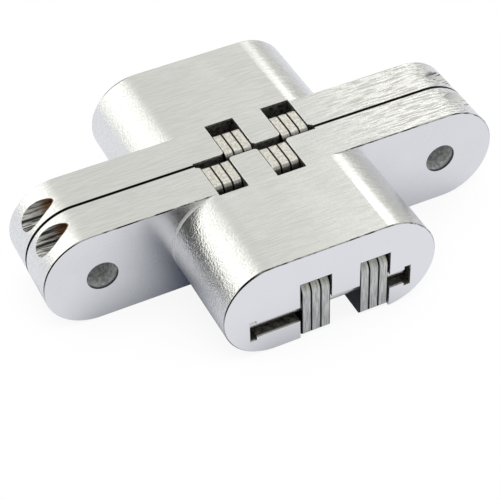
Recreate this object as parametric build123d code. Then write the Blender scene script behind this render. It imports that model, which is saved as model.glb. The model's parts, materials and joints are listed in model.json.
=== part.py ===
from build123d import *
from math import cos, hypot, radians, sin
import os

# Concealed hinge, closed, in millimetres. X runs along the wings, Y across the parting plane
# and Z up to the knuckle side. The origin is the centre of the closed hinge.

# Castings
height = 13.0
wing_length = 60.0
wing_thickness = 5.85
block_length = 27.5
half_depth = 19.85
parting_gap = 0.28
rim_chamfer = 0.12

# Middle of the parting faces, set back beside the windows
middle_gap = 0.9
middle_margin = 0.05
window_corner_radius = 0.45
window_end_gap = 1.4

# Screw holes, countersunk from the parting face
screw_spacing = 45.4
screw_hole_diameter = 3.9
screw_head_diameter = 7.6

# Stamped link plates, stacked side by side along X
plate_thickness = 1.15
plates_per_stack = 3
plate_gap = 0.08
stack_gap = 0.05
centre_gap = 0.3
stack_clearance = 0.1
slot_outer_clearance = 0.3
edge_clearance = 0.25

# Axes of the linkage: depth from the parting plane, height from the knuckle side or the underside
pivot_depth = 2.4
pivot_below_top = 1.7
centre_above_bottom = 4.0
slide_above_bottom = 4.0
slide_from_end = 1.95

# The far half turns a link by this share of what the link turns in its own half
turn_share = 0.41
opening_angle = 180.0

# Pins
pivot_pin_diameter = 1.8
pivot_pin_length = 23.0
centre_pin_diameter = 2.4
slide_pin_diameter = 2.1
slide_pin_length = 20.6
running_clearance = 0.04
seat_clearance = 0.01
pin_end_clearance = 0.1
pin_chamfer = 0.2

# Link outline
pivot_lobe_radius = 2.35
pivot_lobe_top_gap = 0.2
knuckle_radius = 0.8
centre_lobe_radius = 2.3
lobe_side_angle = 60.0
link_end_gap = 0.1
link_end_height = 7.95
link_end_top_radius = 1.5
link_end_chamfer = 0.3
link_corner_radius = 0.8

# Notch in a link, from the place that the far half's pivot boss takes there in the open hinge
notch_floor_gap = 0.38
notch_start = 2.57
notch_end = 1.33
notch_front = 3.67
notch_front_rise = 0.67
notch_slope = 2.53
notch_slope_rise = 2.57
notch_shoulder = 4.23

# Slots and track in the casting
boss_wall = 0.5
boss_web_angle = 215.0
corner_wall = 1.2
ceiling_wall = 1.9
slot_mouth_gap = 0.55
slot_mouth_lead = 0.5
slot_slope_run = 2.1
track_clearance = 0.08
track_arcs = 3
track_curve_share = 0.88
mouth_height = 2.2
mouth_end_height = 3.1
mouth_end_width = 0.85
mouth_end_depth = 1.6
mouth_side_clearance = 0.2
access_hole_diameter = 3.0

# Derived heights and depths
top = height / 2
bottom = -height / 2
pivot_height = top - pivot_below_top
centre_height = bottom + centre_above_bottom
slide_height = bottom + slide_above_bottom
slide_depth = half_depth - slide_from_end
window_depth = pivot_depth + pivot_lobe_radius + window_end_gap
link_bottom = bottom + edge_clearance
link_top = top - pivot_lobe_top_gap
link_end = half_depth - link_end_gap
link_end_top = link_bottom + link_end_height
boss_radius = pivot_pin_diameter / 2 + boss_wall
half_turn = radians(opening_angle) / (1 + turn_share)

# Derived places along X
stack_pitch = plate_thickness + plate_gap
stack_width = stack_pitch * plates_per_stack - plate_gap
inner_stack_x = centre_gap / 2 + stack_width / 2
outer_stack_x = inner_stack_x + stack_width + stack_gap
window_width = stack_width + 2 * stack_clearance
links_half_width = outer_stack_x + stack_width / 2
middle_reach = links_half_width + stack_clearance + window_corner_radius + middle_margin

# Cutting shapes run this far past the faces that they open
overcut = 1.0

# Stacks of each half: where its own links are pivoted, seen from the back half
own_stacks = (-inner_stack_x, outer_stack_x)
other_stacks = (-outer_stack_x, inner_stack_x)


def turned(vector, angle):
    """A vector in the YZ plane, turned clockwise as seen with Y to the right."""
    y, z = vector
    return (y * cos(angle) + z * sin(angle), z * cos(angle) - y * sin(angle))


def open_boss():
    """Where the far half's pivot boss lies beside a link of the open hinge, in the closed link's place."""
    y, z = turned((-pivot_depth, centre_height - pivot_height), half_turn * (1 - turn_share))
    return (-y, centre_height - z)


def slide_position(turn):
    """Centre of the slide pin in the half that it slides in, for a turn of the half's own links."""
    down = turned((-pivot_depth, centre_height - pivot_height), turn)
    along = turned((slide_depth, slide_height - centre_height), turn * turn_share)
    return (pivot_depth + down[0] + along[0], pivot_height + down[1] + along[1])


def slide_normal(turn):
    """Unit normal of the slide pin's path, upwards."""
    step = half_turn / 1000
    y0, z0 = slide_position(turn)
    y1, z1 = slide_position(turn + step)
    run = hypot(y1 - y0, z1 - z0)
    return ((z1 - z0) / run, -(y1 - y0) / run)


def track_edge(offset):
    """Points of the slide pin's path moved sideways by an offset, from its closed place inwards."""
    points = []
    for i in range(2 * track_arcs + 1):
        turn = half_turn * track_curve_share * i / (2 * track_arcs)
        y, z = slide_position(turn)
        ny, nz = slide_normal(turn)
        points.append((y + ny * offset, z + nz * offset))
    return points


def arcs_through(points):
    """A run of arcs, each through the next three points."""
    return [ThreePointArc(*points[i:i + 3]) for i in range(0, len(points) - 1, 2)]


def across(profile, x_from, x_to):
    """A profile in the YZ plane made solid from one X to another."""
    return Pos(x_from, 0, 0) * extrude(Plane.YZ * profile, amount=x_to - x_from, dir=(1, 0, 0))


def along_x(diameter, y, z, x_from, x_to):
    """A round bar or bore along X."""
    return across(Pos(y, z) * Circle(diameter / 2), x_from, x_to)


def track_profile():
    """The slide pin's path widened to the track that guides it."""
    radius = slide_pin_diameter / 2 + track_clearance
    upper = track_edge(radius)
    lower = track_edge(-radius)
    ends = [Line(upper[-1], lower[-1]), Line(lower[0], upper[0])]
    run = make_face(arcs_through(upper) + arcs_through(lower) + ends)
    late = Pos(*slide_position(half_turn * track_curve_share)) * Circle(radius)
    last = Pos(*slide_position(half_turn)) * Circle(radius)
    start = Pos(slide_depth, slide_height) * Circle(radius)
    return run + make_hull(late.edges() + last.edges()) + start


def track_undercut_profile():
    """The space under the track, open at the underside."""
    radius = slide_pin_diameter / 2 + track_clearance
    upper = track_edge(radius)
    inner = slide_position(half_turn)[0] - radius
    corners = [
        upper[-1],
        (inner, upper[-1][1]),
        (inner, bottom - overcut),
        (half_depth + overcut, bottom - overcut),
        (half_depth + overcut, slide_height),
        (slide_depth, slide_height),
        upper[0],
    ]
    return make_face(arcs_through(upper) + [Polyline(*corners)])


def slot_profile():
    """Room for the other half's links, under the top wall and under the boss of the pivot pin."""
    corner_height = top - corner_wall
    ceiling = top - ceiling_wall
    mouth_start = open_boss()[0] + notch_shoulder - slot_mouth_lead
    mouth_top = link_end_top + slot_mouth_gap
    outline = Polygon(
        (-overcut, corner_height),
        (pivot_depth, corner_height),
        (pivot_depth, ceiling),
        (mouth_start - slot_slope_run, ceiling),
        (mouth_start, mouth_top),
        (half_depth + overcut, mouth_top),
        (half_depth + overcut, bottom - overcut),
        (-overcut, bottom - overcut),
        align=None,
    )
    flank = radians(boss_web_angle)
    boss_side = (pivot_depth + boss_radius * cos(flank), pivot_height + boss_radius * sin(flank))
    boss = Pos(pivot_depth, pivot_height) * Circle(boss_radius)
    web = Polygon((0, corner_height), boss_side, (pivot_depth, pivot_height), (pivot_depth, top),
                  (0, top), align=None)
    return outline - boss - web


def window_profile():
    """Plan of a half's two windows and of the set-back middle of its parting face, corners rounded."""
    set_back = middle_gap / 2
    plan = Rectangle(2 * middle_reach, 2 * set_back)
    for x in own_stacks:
        plan += Pos(x, 0) * Rectangle(window_width, 2 * window_depth)
    level = plan.vertices().filter_by(lambda v: abs(v.Y) < window_depth / 2)
    corners = level.filter_by(lambda v: abs(v.X) < middle_reach - middle_margin)
    return fillet(corners, window_corner_radius)


def stadium(length, depth_from, depth_to):
    """A round-ended plate on edge, between two depths from the parting plane."""
    face = Plane.XZ.offset(-depth_from) * SlotOverall(length, height)
    return extrude(face, amount=-(depth_to - depth_from))


def casting_blank():
    """Wing and block before any hole is cut, with their outer rims eased."""
    wing = stadium(wing_length, parting_gap / 2, wing_thickness)
    block = stadium(block_length, wing_thickness / 2, half_depth)
    eased = [chamfer(plate.faces().sort_by(Axis.Y)[-1].edges(), rim_chamfer) for plate in (wing, block)]
    return eased[0] + eased[1]


def screw_hole(x):
    """One countersunk screw hole through a wing."""
    axis = Plane.XZ.offset(-parting_gap / 2) * Pos(x, 0)
    sink_depth = (screw_head_diameter - screw_hole_diameter) / 2
    bore = extrude(axis * Circle(screw_hole_diameter / 2), amount=-wing_thickness)
    sink = extrude(axis * Circle(screw_head_diameter / 2), amount=-sink_depth, taper=45)
    return bore + sink


def mouth():
    """The groove in the block's end face that the slide pin is put in through, taller at its ends."""
    half_length = slide_pin_length / 2 + mouth_side_clearance
    groove = Pos(0, half_depth, slide_height) * Box(2 * half_length, 2 * slide_from_end, mouth_height)
    for side in (-1, 1):
        end = Box(mouth_end_width, 2 * mouth_end_depth, mouth_end_height)
        groove += Pos(side * (half_length - mouth_end_width / 2), half_depth, slide_height) * end
    return groove


def half_body():
    """The casting of the back half: wing and block in one piece."""
    body = casting_blank()
    body -= Pos(0, 0, bottom - overcut) * extrude(window_profile(), amount=height + 2 * overcut)
    half_window = window_width / 2
    slot = slot_profile()
    for x in other_stacks:
        outward = 1 if x > 0 else -1
        inner = x - outward * half_window
        outer = x + outward * (stack_width / 2 + slot_outer_clearance)
        body -= across(slot, *sorted((inner, outer)))
    # The inner slot runs up to the half's own window, with no fin between them
    body -= across(slot, own_stacks[0] + half_window, other_stacks[1])
    track_half = slide_pin_length / 2 + mouth_side_clearance
    body -= across(track_profile(), -track_half, track_half)
    between = own_stacks[0]
    body -= across(track_undercut_profile(), between - half_window, between + half_window)
    body -= mouth()
    bore_end = pivot_pin_length / 2 + pin_end_clearance
    bore_diameter = pivot_pin_diameter + 2 * seat_clearance
    body -= along_x(bore_diameter, pivot_depth, pivot_height, -bore_end, bore_end)
    for side in (-1, 1):
        ends = sorted((side * bore_end, side * wing_length / 2))
        body -= along_x(access_hole_diameter, pivot_depth, pivot_height, *ends)
        body -= screw_hole(side * screw_spacing / 2)
    return body


def link_profile():
    """Outline of a link plate pivoted in the front half, with its slide end in the back half."""
    pivot = Pos(-pivot_depth, pivot_height)
    centre = Pos(0, centre_height)
    slide = Pos(slide_depth, slide_height)
    short_arm = make_hull((pivot * Circle(pivot_lobe_radius)).edges() +
                          (centre * Circle(centre_lobe_radius)).edges())
    # The long arm runs under the notch that clears the far half's pivot boss
    boss_y, boss_z = open_boss()
    floor = boss_z - boss_radius - notch_floor_gap
    lobe_side = radians(lobe_side_angle)
    lobe_foot = (-centre_lobe_radius * sin(lobe_side), centre_height - centre_lobe_radius * cos(lobe_side))
    heel = (link_corner_radius, link_bottom)
    shoulder = (boss_y + notch_shoulder, link_end_top)
    tip = (link_end, link_end_top)
    long_arm = Polygon(
        (0, centre_height),
        lobe_foot,
        heel,
        (link_end - link_end_chamfer, link_bottom),
        (link_end, link_bottom + link_end_chamfer),
        tip,
        shoulder,
        (boss_y + notch_slope, boss_z + notch_slope_rise),
        (boss_y + notch_end, floor),
        (boss_y - notch_start, floor),
        (boss_y - notch_front, boss_z + notch_front_rise),
        align=None,
    )
    rounds = ((heel, link_corner_radius), (shoulder, link_corner_radius), (tip, link_end_top_radius))
    for corner, radius in rounds:
        vertex = long_arm.vertices().sort_by_distance(Vector(*corner))[0]
        long_arm = fillet(vertex, radius)
    below_top = Pos(0, link_top - height) * Rectangle(4 * height, 2 * height)
    plate = (short_arm + long_arm) & below_top
    knuckle = plate.vertices().sort_by(Axis.Y)[-2:]
    plate = fillet(knuckle, knuckle_radius)
    plate -= pivot * Circle(pivot_pin_diameter / 2 + running_clearance)
    plate -= centre * Circle(centre_pin_diameter / 2 + running_clearance)
    plate -= slide * Circle(slide_pin_diameter / 2 + seat_clearance)
    return plate


def link_plates(stacks):
    """The plates of two stacks, one after another along X."""
    profile = link_profile()
    plates = []
    for x in stacks:
        for i in range(plates_per_stack):
            start = x - stack_width / 2 + i * stack_pitch
            plates.append(across(profile, start, start + plate_thickness))
    return plates


def pin(diameter, length, y, z):
    """A plain round pin along X, across the middle of the hinge."""
    return along_x(diameter, y, z, -length / 2, length / 2)


def slide_pin():
    """The back half's slide pin, with its ends eased to enter the mouth of the track."""
    bar = pin(slide_pin_diameter, slide_pin_length, slide_depth, slide_height)
    return chamfer(bar.edges().filter_by(GeomType.CIRCLE), pin_chamfer)


def build_parts():
    """Every piece of the hinge by its name, in the closed state."""
    half_way = Rot(0, 0, 180)
    body = half_body()
    pivot_pin = pin(pivot_pin_diameter, pivot_pin_length, pivot_depth, pivot_height)
    back_slide_pin = slide_pin()
    parts = {
        "back_body": body,
        "front_body": half_way * body,
        "back_pivot_pin": pivot_pin,
        "front_pivot_pin": half_way * pivot_pin,
        "back_slide_pin": back_slide_pin,
        "front_slide_pin": half_way * back_slide_pin,
        "centre_pin": pin(centre_pin_diameter, 2 * links_half_width, 0, centre_height),
    }
    front_links = link_plates(other_stacks)
    for i, plate in enumerate(front_links):
        parts[f"front_link_{i + 1}"] = plate
        parts[f"back_link_{i + 1}"] = half_way * plate
    return parts


os.makedirs("parts", exist_ok=True)
for name, shape in build_parts().items():
    export_step(shape, f"parts/{name}.step")
    print(name, round(shape.volume, 2))
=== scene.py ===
"""The looks of a concealed hinge, whose shapes all come from the CAD model: finishes for its nodes, the
photograph's camera, a floor and a studio."""
import json
from functools import partial
from math import cos, radians
from types import SimpleNamespace

import bpy
from mathutils import Matrix, Vector


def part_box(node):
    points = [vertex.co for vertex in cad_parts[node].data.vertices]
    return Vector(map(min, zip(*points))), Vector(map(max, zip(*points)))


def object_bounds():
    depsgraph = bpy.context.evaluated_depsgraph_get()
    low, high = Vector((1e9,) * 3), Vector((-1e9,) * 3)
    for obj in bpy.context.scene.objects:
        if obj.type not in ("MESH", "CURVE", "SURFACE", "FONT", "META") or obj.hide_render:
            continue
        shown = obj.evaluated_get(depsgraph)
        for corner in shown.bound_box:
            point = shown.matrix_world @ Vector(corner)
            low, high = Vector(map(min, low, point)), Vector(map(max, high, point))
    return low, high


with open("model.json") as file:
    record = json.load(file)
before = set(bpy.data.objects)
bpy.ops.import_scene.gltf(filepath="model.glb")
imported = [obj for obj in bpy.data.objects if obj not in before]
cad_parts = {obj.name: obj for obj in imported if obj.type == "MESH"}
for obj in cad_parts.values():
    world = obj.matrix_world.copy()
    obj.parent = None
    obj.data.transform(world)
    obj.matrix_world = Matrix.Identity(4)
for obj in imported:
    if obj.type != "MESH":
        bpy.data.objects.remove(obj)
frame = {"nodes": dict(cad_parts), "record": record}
cad_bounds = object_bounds()
nodes = frame["nodes"]

# Everything is in metres, in the frame of the CAD model
MM = 0.001

# Camera of the photograph: place, turn, lens and sensor, and how near it sees. A Blender camera takes its
# lens and sensor in millimetres
camera_place = Vector((-63.815, -137.867, 133.458)) * MM
camera_azimuth = radians(-24.458)
camera_elevation = radians(43.497)
camera_roll = radians(-2.077)
camera_lens = 118.415
camera_sensor = 36.0
camera_near = 10 * MM

# Places on the hinge that the finishes follow, from the frame
screw_pattern = frame["record"]["mounts"][0]["dims"]
screw_x = screw_pattern["spacing_x_mm"] / 2 * MM
screw_radius = screw_pattern["hole_r_mm"] * MM
pivot_pin_low, pivot_pin_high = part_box("back_pivot_pin")
pivot_depth = (pivot_pin_low[1] + pivot_pin_high[1]) / 2
pivot_height = (pivot_pin_low[2] + pivot_pin_high[2]) / 2
pivot_pin_end = pivot_pin_high[0]
body_low, body_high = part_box("back_body")
round_radius = body_high[2]
wing_end = body_high[0]
block_face = body_high[1]
parting_face = body_low[1]
link_boxes = [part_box(name) for name in nodes if "_link_" in name]
plates = sorted((low[0], high[0]) for low, high in link_boxes if low[0] > 0)
plate_start = plates[0][0]
plate_pitch = plates[1][0] - plates[0][0]
plate_thickness = plates[0][1] - plates[0][0]

# Sizes of the casting that the frame doesn't list
block_end = 13.75 * MM
wing_face = parting_face + 5.85 * MM
pin_hole_radius = 1.5 * MM

# Sizes of the marks in the finishes. The linishing lines are 0.05 mm wide on the real hinge, and are drawn
# coarser so that they show
linishing_length = 2.6 * MM
linishing_width = 0.28 * MM
sand_size = 0.28 * MM
satin_cloud_size = 5 * MM
# How long and wide the breaks in the painted shade line along the rims are
rim_break_length = 1.8 * MM
rim_break_width = 0.6 * MM
raw_zinc_size = 0.5 * MM
stain_length = 3 * MM
stain_width = 0.25 * MM
shear_length = 2 * MM
shear_width = 0.12 * MM
steel_mottle_size = 0.35 * MM
draw_line_length = 6 * MM
draw_line_width = 0.15 * MM

# Where the marks lie. A soft edge runs between the two numbers of each line
brushing_and_glints_from, brushing_and_glints_full = 7 * MM, 20 * MM  # along X, on the tops, where the streaks also hold painted glints
pocket_from, pocket_full = 0.12 * MM, 0.35 * MM  # deep under the outside
# The painted shade line along the rims and by the parting edges
rim_fades_below, rim_full_above = -2 * MM, 3 * MM  # in height
rim_spread_full, rim_spread_ends = 0.2 * MM, 0.26 * MM  # in from the block's face
parting_line_full, parting_line_ends = 0.04 * MM, 0.14 * MM  # in from the parting face
highlight_full, highlight_ends = 0.08 * MM, 0.17 * MM  # round the corner of the block and the wing, for the painted highlight
highlight_fades_below, highlight_full_above = -4 * MM, 1 * MM  # in height
mouth_ring_full, mouth_ring_ends = 0.3 * MM, 0.7 * MM  # in from a screw hole's mouth
streaks_full, streaks_end = 3.4 * MM, 4.6 * MM  # in from a wing's end, in its pin hole
# Where the dark line in the pin hole lies, below the pin's axis
dark_line_below_pin = 1.2 * MM
dark_line_full, dark_line_ends = 0.05 * MM, 0.16 * MM  # to either side of the dark line in the pin hole
gap_shade_full, gap_shade_ends = 0.03 * MM, 0.13 * MM  # in from a plate's side, for the painted shade between plates

# How deep the marks are, and how far the edges are eased
casting_relief, casting_edge = 0.06 * MM, 0.13 * MM
plate_relief, plate_edge = 0.01 * MM, 0.2 * MM
rod_relief, rod_edge = 0.01 * MM, 0.1 * MM
# How deep each kind of mark on the casting is, as a share of casting_relief, and what the die's smooth
# faces keep of it
faint_lines, hard_lines = 0.28, 2.4
sand_on_flats, sand_on_rounds = 0.12, 1.25
pressed_share = 0.03

# Roughness, and how metallic a matt surface still is
satin_low, satin_high = 0.2, 0.28
pressed_smoother, wing_face_softer = 0.07, 0.08
matt_roughness, matt_metallic = 0.5, 0.1
plate_roughest, plate_smoothest = 0.4, 0.26
rod_roughness = 0.32

# Colours that stand alone in the casting and the links, in sRGB
pressed_plating = "#E2E2E2"
# Painted shade along the rims and in the gap between the halves
rim_shade_line = "#1E1E20"
# Parting faces: a grey darker than the plating, partly painted shade in the gap
parting_face_shade_grey = "#B0B1B4"
screw_hole_mouth = "#4A4C52"
pin_hole_dark_line = "#151413"
# Painted highlight in the corner of the block and the wing
corner_highlight_white = "#FFFFFF"
# Painted shade where one plate lies on the next
plate_gap_shade = "#1F1E1C"

# The studio round the hinge, as its metal mirrors it: name, direction, inner and outer radius in degrees,
# and how bright it is, against the white background's 1
room_level = 0.79
studio = (
    ("big soft box, behind on the left", (-0.47, 0.66, 0.48), 18, 34, 1.5),
    ("ceiling light", (0.1, -0.1, 1.0), 8, 28, 1.25),
    ("narrow soft box, behind on the right", (0.555, 0.61, 0.565), 4, 12, 2.4),
    ("dim corner, on the right", (0.75, 0.6, 0.22), 12, 26, 0.6),
    ("dark gap, low in front on the left", (-0.7, -0.64, 0.25), 16, 29, 0.02),
    ("dimmer side behind the camera", (0.2, -0.69, 0.66), 10, 30, 0.45),
)

# The floor: how far it lies under the hinge, how far the hinge shades it, and between which distances its
# pale sheet ends, towards the dark gap
floor_drop = 0.02 * MM
shade_reach = 25 * MM
toward_gap = (-0.75, -0.66, 0.0)
sheet_fades_from, sheet_ends = 55 * MM, 105 * MM

# Kinds of shader node that come up often, and settings and ranges that many of them share
MATH = "ShaderNodeMath"
RANGE = "ShaderNodeMapRange"
MIX = "ShaderNodeMixRGB"
NOISE = "ShaderNodeTexNoise"
COORDS = "ShaderNodeTexCoord"
SPLIT = "ShaderNodeSeparateXYZ"
ADD = {"operation": "ADD"}
SUBTRACT = {"operation": "SUBTRACT"}
MULTIPLY = {"operation": "MULTIPLY"}
MINIMUM = {"operation": "MINIMUM"}
MAXIMUM = {"operation": "MAXIMUM"}
ABSOLUTE = {"operation": "ABSOLUTE"}
DOT_PRODUCT = {"operation": "DOT_PRODUCT"}
SMOOTH = {"interpolation_type": "SMOOTHSTEP"}
FALLING = {"To_Min": 1.0, "To_Max": 0.0}


def linear(hex_colour):
    """An sRGB hex colour as linear RGBA."""
    channels = [int(hex_colour[i:i + 2], 16) / 255 for i in (1, 3, 5)]
    return [c / 12.92 if c <= 0.04045 else ((c + 0.055) / 1.055) ** 2.4 for c in channels] + [1.0]


def place_camera():
    """The photograph's camera, on the left of the front block and above it."""
    data = bpy.data.cameras.new("photo_camera")
    data.lens = camera_lens
    data.sensor_width = camera_sensor
    data.clip_start = camera_near
    camera = bpy.data.objects.new("photo_camera", data)
    bpy.context.scene.collection.objects.link(camera)
    azimuth = Matrix.Rotation(camera_azimuth, 4, "Z")
    tilt = Matrix.Rotation(radians(90) - camera_elevation, 4, "X")
    roll = Matrix.Rotation(camera_roll, 4, "Z")
    camera.matrix_world = Matrix.Translation(camera_place) @ azimuth @ tilt @ roll
    bpy.context.scene.camera = camera


def add_node(tree, kind, settings=None, **inputs):
    """One shader node with its settings, given back as its outputs. An input is a value or the socket
    that feeds it. Its name has _ for a space, and _0 is the first input."""
    node = tree.nodes.new(kind)
    for name, value in (settings or {}).items():
        setattr(node, name, value)
    for name, value in inputs.items():
        key = int(name[1:]) if name[1:].isdigit() else name.replace("_", " ")
        if isinstance(value, bpy.types.NodeSocket):
            tree.links.new(value, node.inputs[key])
        else:
            node.inputs[key].default_value = value
    return node.outputs


def new_material(name):
    """An empty node material, and the function that adds nodes to it."""
    material = bpy.data.materials.new(name)
    material.use_nodes = True
    material.node_tree.nodes.clear()
    return material, partial(add_node, material.node_tree)


def drawn_out_noise(add, place, along_x, across_x, roughness=0.5):
    """Noise whose marks measure this much along X, and this much across it."""
    drawn_out = add("ShaderNodeMapping", Vector=place, Scale=(1 / along_x, 1 / across_x, 1 / across_x))[0]
    return add(NOISE, Vector=drawn_out, Scale=1.0, Detail=3.0, Roughness=roughness)["Fac"]


def two_tones(add, noise, start, full, dark, light):
    """A dark colour where the noise is below start and a light one where it is above full, softly joined."""
    share = add(RANGE, SMOOTH, Value=noise, From_Min=start, From_Max=full)[0]
    return add(MIX, _0=share, _1=linear(dark), _2=linear(light))[0]


def cover_with_metal(add, colour, roughness, metallic, relief, relief_depth, edge):
    """The metal's surface, with edges eased by this radius and its relief this deep."""
    eased = add("ShaderNodeBevel", {"samples": 8}, Radius=edge)[0]
    bump = add("ShaderNodeBump", Height=relief, Strength=1.0, Distance=relief_depth, Normal=eased)[0]
    shader = add("ShaderNodeBsdfPrincipled", Base_Color=colour, Roughness=roughness, Metallic=metallic,
                 Normal=bump)[0]
    add("ShaderNodeOutputMaterial", Surface=shader)


def from_axis(add, a, b):
    """How far a point is from an axis, given its two distances across it."""
    squares = add(MATH, ADD, _0=add(MATH, MULTIPLY, _0=a, _1=a)[0], _1=add(MATH, MULTIPLY, _0=b, _1=b)[0])[0]
    return add(MATH, {"operation": "SQRT"}, _0=squares)[0]


def beyond_round_bar(add, at, half_length, face):
    """How far a point stands outside a round-ended bar along X, which reaches to a face in Y."""
    past_end = add(MATH, SUBTRACT, _0=at.along, _1=half_length - round_radius)[0]
    past_end = add(MATH, MAXIMUM, _0=past_end, _1=0.0)[0]
    beside = add(MATH, SUBTRACT, _0=from_axis(add, past_end, at.height), _1=round_radius)[0]
    past_face = add(MATH, SUBTRACT, _0=at.deep, _1=face)[0]
    return add(MATH, MAXIMUM, _0=beside, _1=past_face)[0]


def in_bore(add, from_centre, radius):
    """1 in a bore and on its wall, 0 on the face round it."""
    return add(RANGE, SMOOTH, Value=from_centre, From_Min=radius + 0.01 * MM, From_Max=radius + 0.05 * MM,
               **FALLING)[0]


def casting_point(add):
    """Where a point of the castings is, and which way it faces. Their outline is the same in all four
    quarters seen from above, so along and deep count from the hinge's middle."""
    coords = add(COORDS)
    spot = add(SPLIT, Vector=coords["Object"])
    facing = add(SPLIT, Vector=coords["Normal"])
    at = SimpleNamespace(place=coords["Object"], x=spot["X"], height=spot["Z"], facing_x=facing["X"])
    at.along = add(MATH, ABSOLUTE, _0=spot["X"])[0]
    at.deep = add(MATH, ABSOLUTE, _0=spot["Y"])[0]
    at.facing_y = add(MATH, ABSOLUTE, _0=facing["Y"])[0]
    at.facing_z = add(MATH, ABSOLUTE, _0=facing["Z"])[0]
    at.above_pin = add(MATH, SUBTRACT, _0=at.height, _1=pivot_height)[0]
    # The outside is the wing's bar and the block's bar together
    at.out_of_wing = beyond_round_bar(add, at, wing_end, wing_face)
    at.out_of_block = beyond_round_bar(add, at, block_end, block_face)
    return at


def casting_zones(add, at):
    """How far a point belongs, from 0 to 1, to each part of the castings that has its own look."""
    zones = SimpleNamespace()
    # The faces that look along Y are pressed smooth by the die, and aren't linished
    zones.pressed = add(RANGE, SMOOTH, Value=at.facing_y, From_Min=0.6, From_Max=0.95)[0]
    # The flats are linished, hardest on the tops of the right wings, where the streaks' colour also holds
    # painted glints
    on_flat = add(RANGE, SMOOTH, Value=at.facing_z, From_Min=0.8, From_Max=0.97)[0]
    to_right = add(RANGE, SMOOTH, Value=at.x, From_Min=brushing_and_glints_from,
                   From_Max=brushing_and_glints_full)[0]
    zones.hard_brushed = add(MATH, MULTIPLY, _0=to_right, _1=on_flat)[0]
    zones.facing_left = add(RANGE, SMOOTH, Value=at.facing_x, From_Min=-0.3, From_Max=-0.05, **FALLING)[0]

    # Under the outside, and on the faces where the two halves meet
    outside = add(MATH, MINIMUM, _0=at.out_of_wing, _1=at.out_of_block)[0]
    zones.inside = add(RANGE, SMOOTH, Value=outside, From_Min=-pocket_full, From_Max=-pocket_from, **FALLING)[0]
    zones.between_halves = add(RANGE, SMOOTH, Value=at.deep, From_Min=parting_face + 0.02 * MM,
                               From_Max=parting_face + 0.05 * MM, **FALLING)[0]

    # The screw holes through the wings, and the pin holes in the wings' round ends as far as the pin
    beside_screw = add(MATH, SUBTRACT, _0=at.along, _1=screw_x)[0]
    zones.screw_hole = in_bore(add, from_axis(add, beside_screw, at.height), screw_radius)
    beside_pin = add(MATH, SUBTRACT, _0=at.deep, _1=pivot_depth)[0]
    pin_bore = in_bore(add, from_axis(add, beside_pin, at.above_pin), pin_hole_radius)
    past_pin = add(RANGE, SMOOTH, Value=at.along, From_Min=pivot_pin_end,
                   From_Max=pivot_pin_end + 0.1 * MM)[0]
    zones.pin_hole = add(MATH, MULTIPLY, _0=pin_bore, _1=past_pin)[0]

    # The plating reaches neither the bores nor the pockets
    bored = add(MATH, MAXIMUM, _0=zones.screw_hole, _1=zones.pin_hole)[0]
    off_parting = add(RANGE, Value=zones.between_halves, **FALLING)[0]
    in_pocket = add(MATH, MULTIPLY, _0=off_parting, _1=zones.inside)[0]
    zones.unplated = add(MATH, MAXIMUM, _0=bored, _1=in_pocket)[0]
    return zones


def linished_relief(add, at, zones, lines):
    """Fine lines on the flats and sand on the rounds, and almost nothing on the pressed faces."""
    line_depth = add(RANGE, Value=zones.hard_brushed, To_Min=faint_lines, To_Max=hard_lines)[0]
    line_relief = add(MATH, MULTIPLY, _0=lines, _1=line_depth)[0]
    sand = add(NOISE, Vector=at.place, Scale=1 / sand_size, Detail=2.0)["Fac"]
    sand_depth = add(RANGE, SMOOTH, Value=at.facing_z, From_Min=0.9, From_Max=0.999,
                     To_Min=sand_on_rounds, To_Max=sand_on_flats)[0]
    sand_relief = add(MATH, MULTIPLY, _0=sand, _1=sand_depth)[0]
    relief = add(MATH, ADD, _0=line_relief, _1=sand_relief)[0]
    worked = add(RANGE, Value=zones.pressed, To_Min=1.0, To_Max=pressed_share)[0]
    return add(MATH, MULTIPLY, _0=relief, _1=worked)[0]


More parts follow.
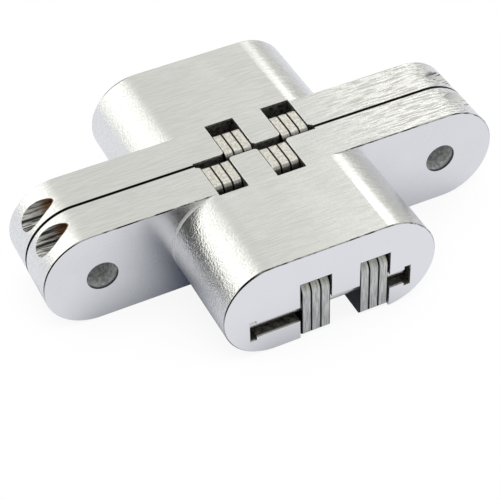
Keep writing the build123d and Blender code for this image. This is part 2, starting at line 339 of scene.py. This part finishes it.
def painted_rim_shade(add, at, zones):
    """Painted shade: a dark line along the rims, broken but for the left ends, and fading below. The chamfer is
    the only outside face that lies slantwise to Y."""
    not_flat = add(RANGE, SMOOTH, Value=at.facing_y, From_Min=0.8, From_Max=0.9, **FALLING)[0]
    slanting = add(RANGE, SMOOTH, Value=at.facing_y, From_Min=0.45, From_Max=0.6)[0]
    slanting = add(MATH, MULTIPLY, _0=slanting, _1=not_flat)[0]
    rim_breaks = drawn_out_noise(add, at.place, rim_break_length, rim_break_width, roughness=0.7)
    broken = add(RANGE, SMOOTH, Value=rim_breaks, From_Min=0.42, From_Max=0.56, To_Min=1.0, To_Max=0.25)[0]
    rim = add(MATH, MAXIMUM, _0=zones.facing_left, _1=broken)[0]
    upper = add(RANGE, SMOOTH, Value=at.height, From_Min=rim_fades_below, From_Max=rim_full_above)[0]
    rim = add(MATH, MULTIPLY, _0=rim, _1=upper)[0]
    # There is none in the corner where the block's side meets the wing's face
    from_corner = add(MATH, SUBTRACT, _0=at.deep, _1=wing_face + 0.08 * MM)[0]
    from_corner = add(MATH, ABSOLUTE, _0=from_corner)[0]
    off_corner = add(RANGE, SMOOTH, Value=from_corner, From_Min=0.1 * MM, From_Max=0.12 * MM)[0]
    rim = add(MATH, MULTIPLY, _0=rim, _1=off_corner)[0]
    rim = add(MATH, MULTIPLY, _0=rim, _1=slanting)[0]
    # On the block's left end it spreads a little from the chamfer onto the round
    spread = add(RANGE, SMOOTH, Value=at.deep, From_Min=block_face - rim_spread_ends,
                 From_Max=block_face - rim_spread_full)[0]
    left_end = add(RANGE, SMOOTH, Value=at.facing_x, From_Min=-0.8, From_Max=-0.6)[0]
    spread = add(MATH, MULTIPLY, _0=spread, _1=left_end)[0]
    spread = add(MATH, MULTIPLY, _0=spread, _1=zones.facing_left)[0]
    spread = add(MATH, MULTIPLY, _0=spread, _1=not_flat)[0]
    rim = add(MATH, MAXIMUM, _0=rim, _1=spread)[0]
    # The halves' meeting edges are painted dark all along, as painted shade in the gap between them
    at_parting = add(RANGE, SMOOTH, Value=at.deep, From_Min=parting_face + parting_line_full,
                     From_Max=parting_face + parting_line_ends, **FALLING)[0]
    return add(MATH, MAXIMUM, _0=rim, _1=at_parting)[0]


def corner_highlight_line(add, at, zones):
    """A painted highlight: a thin white line in the corner where the block's left round meets the wing's face.
    """
    past_wing = add(MATH, SUBTRACT, _0=at.deep, _1=wing_face)[0]
    from_corner = from_axis(add, at.out_of_block, past_wing)
    corner_highlight = add(RANGE, SMOOTH, Value=from_corner, From_Min=highlight_full, From_Max=highlight_ends, **FALLING)[0]
    beside_corner = add(MATH, MAXIMUM, _0=zones.facing_left, _1=zones.pressed)[0]
    corner_highlight = add(MATH, MULTIPLY, _0=corner_highlight, _1=beside_corner)[0]
    upper = add(RANGE, SMOOTH, Value=at.height, From_Min=highlight_fades_below, From_Max=highlight_full_above)[0]
    return add(MATH, MULTIPLY, _0=corner_highlight, _1=upper)[0]


def plating_colour(add, zones, lines, rim):
    """The plating, streaked where it is linished hard, with painted glints in those streaks, and its painted
    shade line along the rim.
    """
    plain = two_tones(add, lines, 0.3, 0.7, "#DDDDDC", "#E7E7E6")
    # Painted glints: near-white streaks where the right tops are linished hardest
    streaked_with_glints = two_tones(add, lines, 0.4, 0.55, "#D2D2CF", "#FFFFFE")
    plated = add(MIX, _0=zones.hard_brushed, _1=plain, _2=streaked_with_glints)[0]
    plated = add(MIX, _0=zones.pressed, _1=plated, _2=linear(pressed_plating))[0]
    return add(MIX, _0=rim, _1=plated, _2=linear(rim_shade_line))[0]


def pocket_zinc_and_shade(add, zones, raw_zinc):
    """Mottled raw zinc in the pockets, painted dark with shade, and a plainer grey where the halves meet,
    darker than the plating as painted shade in the gap.
    """
    # Raw zinc, painted dark as the shade in the pockets
    mottled = two_tones(add, raw_zinc, 0.35, 0.65, "#191816", "#62605C")
    return add(MIX, _0=zones.between_halves, _1=mottled, _2=linear(parting_face_shade_grey))[0]


def screw_hole_colour(add, at, raw_zinc):
    """Lighter raw zinc in the screw holes, with a dark ring in the mouth."""
    mottled = two_tones(add, raw_zinc, 0.35, 0.65, "#BCBFC2", "#FFFFFF")
    in_mouth = add(RANGE, SMOOTH, Value=at.deep, From_Min=wing_face - mouth_ring_ends,
                   From_Max=wing_face - mouth_ring_full)[0]
    return add(MIX, _0=in_mouth, _1=mottled, _2=linear(screw_hole_mouth))[0]


def pin_hole_colour(add, at):
    """The pin holes. In the left ends the copper under the chrome shows deep inside, and grey streaks nearer
    the mouth, with a dark line a little below the pin's axis. The right ends' holes are whitened with painted
    light, but for a few dark strokes."""
    stain = drawn_out_noise(add, at.place, stain_length, stain_width, roughness=0.6)
    copper = two_tones(add, stain, 0.35, 0.65, "#6B4A2E", "#C8A47C")
    streaks = two_tones(add, stain, 0.4, 0.6, "#3A3836", "#F0F0EE")
    near_mouth = add(RANGE, SMOOTH, Value=at.along, From_Min=wing_end - streaks_end,
                     From_Max=wing_end - streaks_full)[0]
    stained = add(MIX, _0=near_mouth, _1=copper, _2=streaks)[0]
    # A dark line a little below the pin's axis
    from_dark_line = add(MATH, ADD, _0=at.above_pin, _1=dark_line_below_pin)[0]
    from_dark_line = add(MATH, ABSOLUTE, _0=from_dark_line)[0]
    on_dark_line = add(RANGE, SMOOTH, Value=from_dark_line, From_Min=dark_line_full, From_Max=dark_line_ends,
                   **FALLING)[0]
    stained = add(MIX, _0=on_dark_line, _1=stained, _2=linear(pin_hole_dark_line))[0]
    # Painted light: the right ends' pin holes are whitened, as light from the right washes them out
    painted_light_right = two_tones(add, stain, 0.38, 0.46, "#4A4A4C", "#FFFFFF")
    on_right = add(RANGE, Value=at.x, From_Min=0.0, From_Max=1 * MM)[0]
    return add(MIX, _0=on_right, _1=stained, _2=painted_light_right)[0]


def casting_roughness(add, at, zones, matt):
    """Satin on the linished faces, closer to a mirror on the pressed ends, a little softer on the wings'
    faces, and dull where the surface is matt."""
    cloud = add(NOISE, Vector=at.place, Scale=1 / satin_cloud_size, Detail=2.0)["Fac"]
    satin = add(RANGE, SMOOTH, Value=cloud, From_Min=0.3, From_Max=0.7, To_Min=satin_low, To_Max=satin_high)[0]
    smoother = add(RANGE, Value=zones.pressed, To_Min=0.0, To_Max=pressed_smoother)[0]
    roughness = add(MATH, SUBTRACT, _0=satin, _1=smoother)[0]
    softer = add(RANGE, Value=at.deep, From_Min=wing_face + 0.1 * MM, From_Max=wing_face + 0.2 * MM,
                 To_Min=wing_face_softer, To_Max=0.0)[0]
    softer = add(MATH, MULTIPLY, _0=softer, _1=zones.pressed)[0]
    roughness = add(MATH, ADD, _0=roughness, _1=softer)[0]
    dull = add(MATH, MULTIPLY, _0=matt, _1=matt_roughness)[0]
    return add(MATH, MAXIMUM, _0=roughness, _1=dull)[0]


def satin_chromed_casting():
    """Zinc die casting, linished on its round outside and satin chromed: soft bright tops with fine lines
    along the wings, painted glints in the streaks on the right wings, a sandy sparkle where a reflection turns,
    smoother cool ends, dark broken lines of painted shade along the rims, a painted highlight in the corner of
    the block and the wing, and raw metal in the openings, where the plating doesn't reach, painted darker with
    shade in the pockets."""
    material, add = new_material("satin_chromed_zinc_casting")
    at = casting_point(add)
    zones = casting_zones(add, at)
    lines = drawn_out_noise(add, at.place, linishing_length, linishing_width, roughness=0.6)
    raw_zinc = add(NOISE, Vector=at.place, Scale=1 / raw_zinc_size, Detail=4.0, Roughness=0.7)["Fac"]
    rim = painted_rim_shade(add, at, zones)
    corner_highlight = corner_highlight_line(add, at, zones)

    colour = plating_colour(add, zones, lines, rim)
    # The pockets: raw zinc with painted shade
    colour = add(MIX, _0=zones.inside, _1=colour, _2=pocket_zinc_and_shade(add, zones, raw_zinc))[0]
    colour = add(MIX, _0=zones.screw_hole, _1=colour, _2=screw_hole_colour(add, at, raw_zinc))[0]
    colour = add(MIX, _0=zones.pin_hole, _1=colour, _2=pin_hole_colour(add, at))[0]
    # A painted highlight in the corner where the block meets the wing
    colour = add(MIX, _0=corner_highlight, _1=colour, _2=linear(corner_highlight_white))[0]
    # The zinc's oxide in the bores and pockets scatters light like paint, and so does the painted highlight in
    # the corner
    matt = add(MATH, MAXIMUM, _0=zones.unplated, _1=corner_highlight)[0]
    metallic = add(RANGE, Value=matt, To_Min=1.0, To_Max=matt_metallic)[0]
    roughness = casting_roughness(add, at, zones, matt)
    relief = linished_relief(add, at, zones, lines)
    cover_with_metal(add, colour, roughness, metallic, relief, casting_relief, casting_edge)
    return material


def stamped_steel():
    """Plated steel strip, stamped: warm mottled tops painted lighter as painted light, ends painted greyer and
    darker as painted shade, with the shear's fine lines, and a dark line of painted shade where one plate lies
    on the next."""
    material, add = new_material("stamped_plated_steel")
    coords = add(COORDS)
    place = coords["Object"]
    facing = add(SPLIT, Vector=coords["Normal"])
    # The shear marks run up a cut edge, square to the strip's faces, which look along X
    shear = drawn_out_noise(add, place, shear_width, shear_length)
    mottle = add(NOISE, Vector=place, Scale=1 / steel_mottle_size, Detail=3.0, Roughness=0.6)["Fac"]
    # The tops are painted lighter and the ends darker: painted light and shade on the one steel
    lit_tops = two_tones(add, mottle, 0.35, 0.65, "#CBC7C0", "#F2EFE9")
    shaded_ends = two_tones(add, shear, 0.35, 0.65, "#A2A29E", "#CFCFCB")
    facing_y = add(MATH, ABSOLUTE, _0=facing["Y"])[0]
    at_end = add(RANGE, SMOOTH, Value=facing_y, From_Min=0.3, From_Max=0.8)[0]
    colour = add(MIX, _0=at_end, _1=lit_tops, _2=shaded_ends)[0]
    # The painted shade line between plates, from how far a point is from the middle of its own plate
    along = add(MATH, ABSOLUTE, _0=add(SPLIT, Vector=place)["X"])[0]
    from_first = add(MATH, SUBTRACT, _0=along, _1=plate_start)[0]
    into_plate = add(MATH, {"operation": "MODULO"}, _0=from_first, _1=plate_pitch)[0]
    from_middle = add(MATH, SUBTRACT, _0=into_plate, _1=plate_thickness / 2)[0]
    from_middle = add(MATH, ABSOLUTE, _0=from_middle)[0]
    in_gap_shade = add(RANGE, SMOOTH, Value=from_middle, From_Min=plate_thickness / 2 - gap_shade_ends,
                  From_Max=plate_thickness / 2 - gap_shade_full)[0]
    colour = add(MIX, _0=in_gap_shade, _1=colour, _2=linear(plate_gap_shade))[0]
    roughness = add(RANGE, SMOOTH, Value=mottle, From_Min=0.3, From_Max=0.7, To_Min=plate_roughest,
                    To_Max=plate_smoothest)[0]
    relief = add(MATH, ADD, _0=shear, _1=mottle)[0]
    cover_with_metal(add, colour, roughness, 1.0, relief, plate_relief, plate_edge)
    return material


def drawn_steel():
    """Drawn steel rod, plated: smooth, with faint draw lines along its length."""
    material, add = new_material("drawn_steel_rod")
    draw_lines = drawn_out_noise(add, add(COORDS)["Object"], draw_line_length, draw_line_width)
    colour = add(MIX, _0=draw_lines, _1=linear("#C4C2BB"), _2=linear("#EAE8E2"))[0]
    cover_with_metal(add, colour, rod_roughness, 1.0, draw_lines, rod_relief, rod_edge)
    return material


def dress_nodes():
    """Every CAD node gets its own finish."""
    casting = satin_chromed_casting()
    link = stamped_steel()
    rod = drawn_steel()
    for name, node in nodes.items():
        finish = casting if name.endswith("body") else link if "_link_" in name else rod
        for slot in node.material_slots:
            slot.material = finish


def mirrored_floor(add, light):
    """The floor as the metal mirrors it: a pale sheet, with the hinge's shadow on it, that is bluer and
    darker on the left, and that ends in the dark gap, low in front on the left."""
    place = add(COORDS)["Object"]
    to_right = add(RANGE, SMOOTH, Value=add(SPLIT, Vector=place)["X"], From_Min=-8 * MM, From_Max=16 * MM)[0]
    shadow = add(MIX, _0=to_right, _1=linear("#263348"), _2=linear("#A6A8B0"))[0]
    sheet = add(MIX, _0=light, _1=shadow, _2=linear("#F7F9FF"))[0]
    how_far = add("ShaderNodeVectorMath", DOT_PRODUCT, _0=place, _1=toward_gap)["Value"]
    past_sheet = add(RANGE, SMOOTH, Value=how_far, From_Min=sheet_fades_from, From_Max=sheet_ends)[0]
    return add(MIX, _0=past_sheet, _1=sheet, _2=linear("#101216"))[0]


def build_floor():
    """A pale floor under the hinge: white to the camera and in reflections, but for the hinge's soft shadow."""
    bpy.ops.mesh.primitive_plane_add(size=2.0, location=(0, 0, cad_bounds[0][2] - floor_drop))
    floor = bpy.context.object
    floor.name = "floor"
    material, add = new_material("pale_floor")
    ray = add("ShaderNodeLightPath")
    mirrored = add(MATH, MAXIMUM, _0=ray["Is Glossy Ray"], _1=ray["Is Transmission Ray"])[0]
    looked_at = add(MATH, MAXIMUM, _0=ray["Is Camera Ray"], _1=mirrored)[0]
    open_sky = add("ShaderNodeAmbientOcclusion", {"samples": 16}, Distance=shade_reach)["AO"]
    light = add(RANGE, SMOOTH, Value=open_sky, From_Min=0.1, From_Max=0.8)[0]
    seen = add(MIX, _0=light, _1=linear("#F4F4F4"), _2=linear("#FFFFFF"))[0]
    colour = add(MIX, _0=mirrored, _1=seen, _2=mirrored_floor(add, light))[0]
    paint = add("ShaderNodeBsdfDiffuse", Color=linear("#F2F2F2"))[0]
    glow = add("ShaderNodeEmission", Color=colour, Strength=1.0)[0]
    surface = add("ShaderNodeMixShader", Fac=looked_at, _1=paint, _2=glow)[0]
    add("ShaderNodeOutputMaterial", Surface=surface)
    floor.data.materials.append(material)


def build_studio():
    """White where the camera looks past the hinge, and otherwise a pale room with soft boxes and dim sides."""
    world = bpy.data.worlds.new("studio")
    bpy.context.scene.world = world
    world.use_nodes = True
    world.node_tree.nodes.clear()
    add = partial(add_node, world.node_tree)
    direction = add(COORDS)["Generated"]
    level = room_level
    for name, middle, inner, outer, brightness in studio:
        labelled = {**DOT_PRODUCT, "label": name}
        match = add("ShaderNodeVectorMath", labelled, _0=direction, _1=Vector(middle).normalized())["Value"]
        patch = add(RANGE, SMOOTH, Value=match, From_Min=cos(radians(outer)), From_Max=cos(radians(inner)))[0]
        level = add(RANGE, Value=patch, To_Min=level, To_Max=brightness)[0]
    room = add("ShaderNodeBackground", Color=linear("#FFFFFA"), Strength=level)[0]
    white = add("ShaderNodeBackground", Color=linear("#FFFFFF"), Strength=1.0)[0]
    ray = add("ShaderNodeLightPath")
    looked_past = add(MATH, MAXIMUM, _0=ray["Is Camera Ray"], _1=ray["Is Transmission Ray"])[0]
    surface = add("ShaderNodeMixShader", Fac=looked_past, _1=room, _2=white)[0]
    add("ShaderNodeOutputWorld", Surface=surface)


bpy.context.scene.view_settings.view_transform = "Standard"
place_camera()
build_floor()
build_studio()
dress_nodes()
